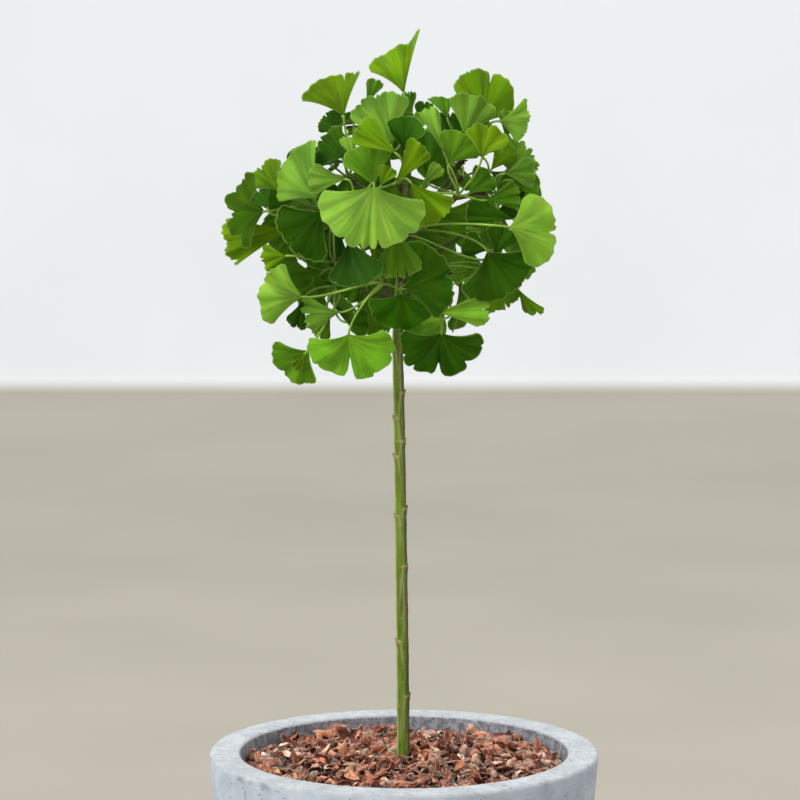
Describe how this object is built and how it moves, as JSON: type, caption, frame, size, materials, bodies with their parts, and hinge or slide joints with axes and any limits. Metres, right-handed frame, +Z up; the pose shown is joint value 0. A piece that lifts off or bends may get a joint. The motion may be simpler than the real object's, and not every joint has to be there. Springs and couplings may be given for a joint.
{
  "type": "ginkgo standard tree in a pot",
  "caption": "Small ginkgo standard with a bare slim stem and a round head of fan leaves, in a tapered round concrete pot topped with cocoa shells.",
  "frame": {"origin": "middle of the pot's foot, on the ground", "axes": "+Z up along the stem; the pictured front faces -Y, with +X to the right of that view"},
  "size_m": [0.356, 0.356, 0.9573],
  "materials": {
    "concrete": "cast, fine pits",
    "soil": "crumbly, matte",
    "shells": "dry shell, satin",
    "bark": "young bark, satin",
    "fresh_leaf": "leaf, satin",
    "green_leaf": "leaf, satin",
    "deep_leaf": "leaf, satin"
  },
  "bodies": {
    "root": {"pot": "concrete", "potting_soil": "soil", "cocoa_shell_mulch": "shells", "trunk": "bark", "leaf_spray_top": "fresh_leaf", "leaf_spray_upper_left": "green_leaf", "leaf_spray_left": "green_leaf", "leaf_spray_left_low": "green_leaf", "leaf_spray_centre_left": "green_leaf", "leaf_spray_front_high": "fresh_leaf", "leaf_spray_upper_right": "fresh_leaf", "leaf_spray_right_front": "fresh_leaf", "leaf_spray_right": "green_leaf", "leaf_spray_centre_right": "green_leaf", "leaf_spray_lower_right": "deep_leaf", "leaf_spray_lower_front": "green_leaf", "leaf_spray_lower_left": "deep_leaf", "leaf_spray_back_top": "deep_leaf", "leaf_spray_back_high_left": "deep_leaf", "leaf_spray_back_high_right": "deep_leaf", "leaf_spray_back_left": "deep_leaf", "leaf_spray_back_right": "deep_leaf", "leaf_spray_back_middle": "deep_leaf", "leaf_spray_back_low_left": "deep_leaf", "leaf_spray_back_low_right": "deep_leaf"}
  },
  "joints": []
}
